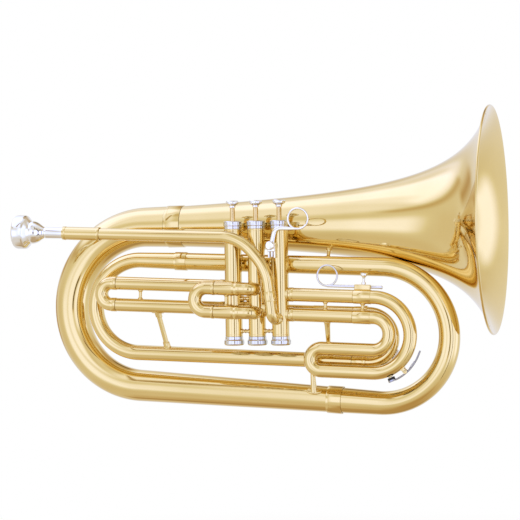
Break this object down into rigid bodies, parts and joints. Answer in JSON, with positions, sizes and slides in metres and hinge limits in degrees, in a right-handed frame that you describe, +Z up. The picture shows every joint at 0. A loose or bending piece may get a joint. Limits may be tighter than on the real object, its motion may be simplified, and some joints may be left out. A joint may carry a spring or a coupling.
{
  "type": "marching baritone",
  "caption": "Brass marching horn held level: a flared bell over nested bows, piston valves, pull slides, finger rings, water keys and a cup mouthpiece.",
  "frame": {"origin": "middle of the second valve casing's axis, where the left hand holds the valve block", "axes": "+X along the bell towards its mouth, +Y to the bell's side, +Z up along the valves"},
  "size_m": [0.5386, 0.254, 0.3408],
  "materials": {
    "lacquered_brass": "polished yellow brass under clear lacquer",
    "plain_brass": "machined, uncoated",
    "silver_plate": "polished silver plate",
    "nickel_trim": "polished nickel plate",
    "piston_metal": "honed nickel-copper alloy",
    "spring_steel": "drawn wire",
    "key_cork": "matt black pad"
  },
  "bodies": {
    "root": {"bell": "lacquered_brass", "bell_ferrule": "lacquered_brass", "left_bow": "lacquered_brass", "bottom_ferrule": "lacquered_brass", "right_bow": "lacquered_brass", "upper_ferrule": "lacquered_brass", "inner_left_bow": "lacquered_brass", "tuning_receiver": "lacquered_brass", "leadpipe": "lacquered_brass", "mouthpiece_receiver": "lacquered_brass", "valve_casing_1": "lacquered_brass", "valve_casing_2": "lacquered_brass", "valve_casing_3": "lacquered_brass", "top_cap_1": "nickel_trim", "top_cap_2": "nickel_trim", "top_cap_3": "nickel_trim", "bottom_cap_1": "nickel_trim", "bottom_cap_2": "nickel_trim", "bottom_cap_3": "nickel_trim", "valve_guide_1": "plain_brass", "valve_guide_2": "plain_brass", "valve_guide_3": "plain_brass", "valve_spring_1": "spring_steel", "valve_spring_2": "spring_steel", "valve_spring_3": "spring_steel", "first_slide_receivers": "lacquered_brass", "second_receiver_upper": "lacquered_brass", "second_receiver_lower": "lacquered_brass", "third_slide_receivers": "lacquered_brass", "pinky_clamp": "nickel_trim", "return_brace": "lacquered_brass", "third_slide_post": "lacquered_brass", "bottom_post": "lacquered_brass", "branch_brace": "lacquered_brass", "bell_brace_front": "lacquered_brass", "bell_brace_rear": "lacquered_brass", "leadpipe_brace": "lacquered_brass"},
    "valve_1": {"piston_1": "piston_metal", "valve_stem_1": "plain_brass", "finger_button_1": "silver_plate"},
    "valve_2": {"piston_2": "piston_metal", "valve_stem_2": "plain_brass", "finger_button_2": "silver_plate"},
    "valve_3": {"piston_3": "piston_metal", "valve_stem_3": "plain_brass", "finger_button_3": "silver_plate"},
    "mouthpiece": {"mouthpiece": "silver_plate"},
    "first_slide": {"first_slide": "lacquered_brass"},
    "second_slide": {"second_slide": "lacquered_brass"},
    "third_slide": {"third_slide": "lacquered_brass", "ring_clamp": "nickel_trim"},
    "tuning_slide": {"tuning_slide": "lacquered_brass"},
    "third_key": {"third_key_lever": "nickel_trim", "third_key_cork": "key_cork"},
    "tuning_key": {"tuning_key_lever": "nickel_trim", "tuning_key_cork": "key_cork"},
    "finger_ring": {"ring_rod": "nickel_trim"},
    "finger_ring_screw": {"ring_screw": "nickel_trim"},
    "little_finger_ring": {"pinky_ring": "nickel_trim"},
    "little_finger_screw": {"pinky_screw": "nickel_trim"}
  },
  "joints": [
    {"name": "valve_1_press", "type": "slide", "parent": "root", "child": "valve_1", "axis": [0, 0, -1], "range_m": [0, 0.014], "stiffness_N_per_m": 150, "springref_m": -0.02, "deforming": ["valve_spring_1"]},
    {"name": "valve_2_press", "type": "slide", "parent": "root", "child": "valve_2", "axis": [0, 0, -1], "range_m": [0, 0.014], "stiffness_N_per_m": 150, "springref_m": -0.02, "deforming": ["valve_spring_2"]},
    {"name": "valve_3_press", "type": "slide", "parent": "root", "child": "valve_3", "axis": [0, 0, -1], "range_m": [0, 0.014], "stiffness_N_per_m": 150, "springref_m": -0.02, "deforming": ["valve_spring_3"]},
    {"name": "mouthpiece_pull", "type": "slide", "parent": "root", "child": "mouthpiece", "axis": [-0.9991, 0, 0.0419], "range_m": [0, 0.06]},
    {"name": "first_slide_pull", "type": "slide", "parent": "root", "child": "first_slide", "axis": [-0.9991, 0, 0.0419], "range_m": [0, 0.04]},
    {"name": "second_slide_pull", "type": "slide", "parent": "root", "child": "second_slide", "axis": [-0.9991, 0, 0.0419], "range_m": [0, 0.02]},
    {"name": "third_slide_pull", "type": "slide", "parent": "root", "child": "third_slide", "axis": [0.9991, 0, -0.0419], "range_m": [0, 0.05]},
    {"name": "tuning_slide_pull", "type": "slide", "parent": "root", "child": "tuning_slide", "axis": [0.9991, 0, -0.0419], "range_m": [0, 0.025]},
    {"name": "finger_ring_set", "type": "slide", "parent": "third_slide", "child": "finger_ring", "axis": [0.9991, 0, -0.0419], "range_m": [-0.012, 0.016]},
    {"name": "little_finger_ring_set", "type": "slide", "parent": "root", "child": "little_finger_ring", "axis": [0, 0, 1], "range_m": [-0.002, 0.01]},
    {"name": "finger_ring_screw_turn", "type": "hinge", "parent": "third_slide", "child": "finger_ring_screw", "pos_m": [0.12142, 0, -0.00439], "axis": [0.0419, 0, 0.9991], "range_deg": [0, 180]},
    {"name": "little_finger_screw_turn", "type": "hinge", "parent": "root", "child": "little_finger_screw", "pos_m": [0.0215, -0.0132, 0.0407], "axis": [0, -1, 0], "range_deg": [0, 180]},
    {"name": "third_key_press", "type": "hinge", "parent": "third_slide", "child": "third_key", "pos_m": [0.16626, 0, -0.09888], "axis": [0, -1, 0], "range_deg": [0, 9], "stiffness_Nm_per_rad": 0.03, "springref_deg": -17.19},
    {"name": "tuning_key_press", "type": "hinge", "parent": "tuning_slide", "child": "tuning_key", "pos_m": [0.14968, 0.0186, -0.09062], "axis": [0, -1, 0], "range_deg": [0, 9], "stiffness_Nm_per_rad": 0.03, "springref_deg": -17.19}
  ]
}
